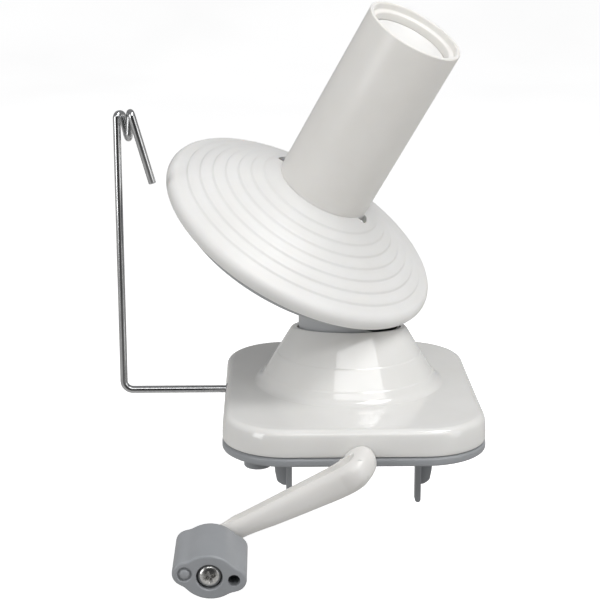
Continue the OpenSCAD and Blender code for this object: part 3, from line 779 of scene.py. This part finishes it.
# ------------------------------------------------- nodes kept from the frame
for node, mat in {"tray_screws": SCREW, "crank_bushes": NYLON, "centre_post": AXLE, "sun_gear": NYLON, "post_nut": SCREW,
                  "thrust_washer": NYLON, "guide_bush": NYLON, "crank_shaft": AXLE, "crank_gear": NYLON, "rotor_pinion": NYLON,
                  "spindle_axle": AXLE, "axle_nut": SCREW, "planet_gear": NYLON, "disc_screws": SCREW}.items():
    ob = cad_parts[node]
    for s in ob.material_slots:
        s.material = mat


# --------------------------------------------------------------- stage, light
def floor():
    """Pale round floor that sweeps up into a wall all round the object."""
    prof = [(0.0, 0.0), (0.6, 0.0), (2.2, 0.0)]
    for k in range(1, 17):
        an = math.pi / 2 * k / 16
        prof.append((2.2 + 0.9 * math.sin(an), 0.9 * (1 - math.cos(an))))
    prof.append((3.1, 4.5))
    ob = revolve("floor_sweep", [Vector(p) for p in prof], Matrix.Translation((0, 0.02, FLOOR_Z * 0.001)), 96, 60, closed=False)
    m, nt, b = new_mat("floor_paper")
    v = coords(nt)
    tone = noise(nt, v, 3.0, 3.0)
    nt.links.new(ramp(nt, tone, [(0.3, (0.80, 0.80, 0.80)), (0.7, (0.84, 0.84, 0.84))]), b.inputs["Base Color"])
    nt.links.new(bump(nt, noise(nt, v, 700.0, 3.0), 0.05, 0.0002), b.inputs["Normal"])
    b.inputs["Roughness"].default_value = 0.9
    b.inputs["Specular IOR Level"].default_value = 0.0
    b.inputs["Emission Color"].default_value = (1, 1, 1, 1)
    nt.links.new(span(nt, tone, 0.70, 0.72), b.inputs["Emission Strength"])
    ob.data.materials.append(m)
    # the paper is only a backdrop: the room light below does the filling
    ob.visible_diffuse = False
    ob.visible_glossy = False


floor()


def area(name, loc, aim, size, power, color=(1, 1, 1)):
    d = bpy.data.lights.new(name, "AREA")
    d.shape = "RECTANGLE"
    d.size, d.size_y = size
    d.energy = power
    d.color = color
    ob = bpy.data.objects.new(name, d)
    ob.location = loc
    ob.rotation_euler = (Vector(aim) - Vector(loc)).to_track_quat("-Z", "Y").to_euler()
    bpy.context.scene.collection.objects.link(ob)


area("key", (0.42, -0.24, 1.10), (0, 0.03, 0.06), (0.5, 0.5), 6.2)
area("window", (0.234, -0.857, 0.965), (0, 0.02, 0.04), (1.45, 0.36), 5.0)
area("left", (-1.1, -0.80, 0.32), (0, 0.03, 0.06), (0.45, 0.9), 5.4)
area("right", (1.15, -0.70, 0.30), (0, 0.03, 0.06), (0.5, 0.9), 2.6)

w = bpy.data.worlds.new("studio")
bpy.context.scene.world = w
w.use_nodes = True
wt = w.node_tree
bg = wt.nodes["Background"]
sep = wt.nodes.new("ShaderNodeSeparateXYZ")
ray = wt.nodes.new("ShaderNodeTexCoord").outputs["Generated"]
wt.links.new(ray, sep.inputs["Vector"])
# the room is dim on the crank side, which gives polished metal its dark core
dim = wt.nodes.new("ShaderNodeVectorMath")
dim.operation = "DOT_PRODUCT"
dim.inputs[1].default_value = (0.0, -0.98, 0.20)
wt.links.new(ray, dim.inputs[0])
mix = wt.nodes.new("ShaderNodeMath")
mix.operation = "MULTIPLY"
mix.inputs[0].default_value = 1.0
wt.links.new(span(wt, dim.outputs["Value"], 1.0, 0.12, 0.62, 0.92), mix.inputs[1])
wt.links.new(mix.outputs["Value"], bg.inputs["Strength"])
# the pale table lights the object from below
wt.links.new(ramp(wt, span(wt, sep.outputs["Z"], 0.0, 1.0, -1.0, 1.0), [(0.0, (0.62, 0.615, 0.605)), (0.42, (0.54, 0.535, 0.525)), (0.58, (0.30, 0.30, 0.30)), (1.0, (0.36, 0.36, 0.365))]),
             bg.inputs["Color"])

sc = bpy.context.scene
sc.view_settings.view_transform = "Standard"
sc.view_settings.look = "None"

# -------------------------------------------------------------------- camera
cd = bpy.data.cameras.new("camera")
cd.sensor_fit = "HORIZONTAL"
cd.sensor_width = 36.0
cd.lens = 93.10
cd.clip_start = 0.01
cam = bpy.data.objects.new("camera", cd)
cam.location = (-0.0368, -0.66758 + SEAT * 0.001, 0.21755)
cam.rotation_euler = (math.radians(76.08), 0, math.radians(-1.29))
sc.collection.objects.link(cam)
sc.camera = cam
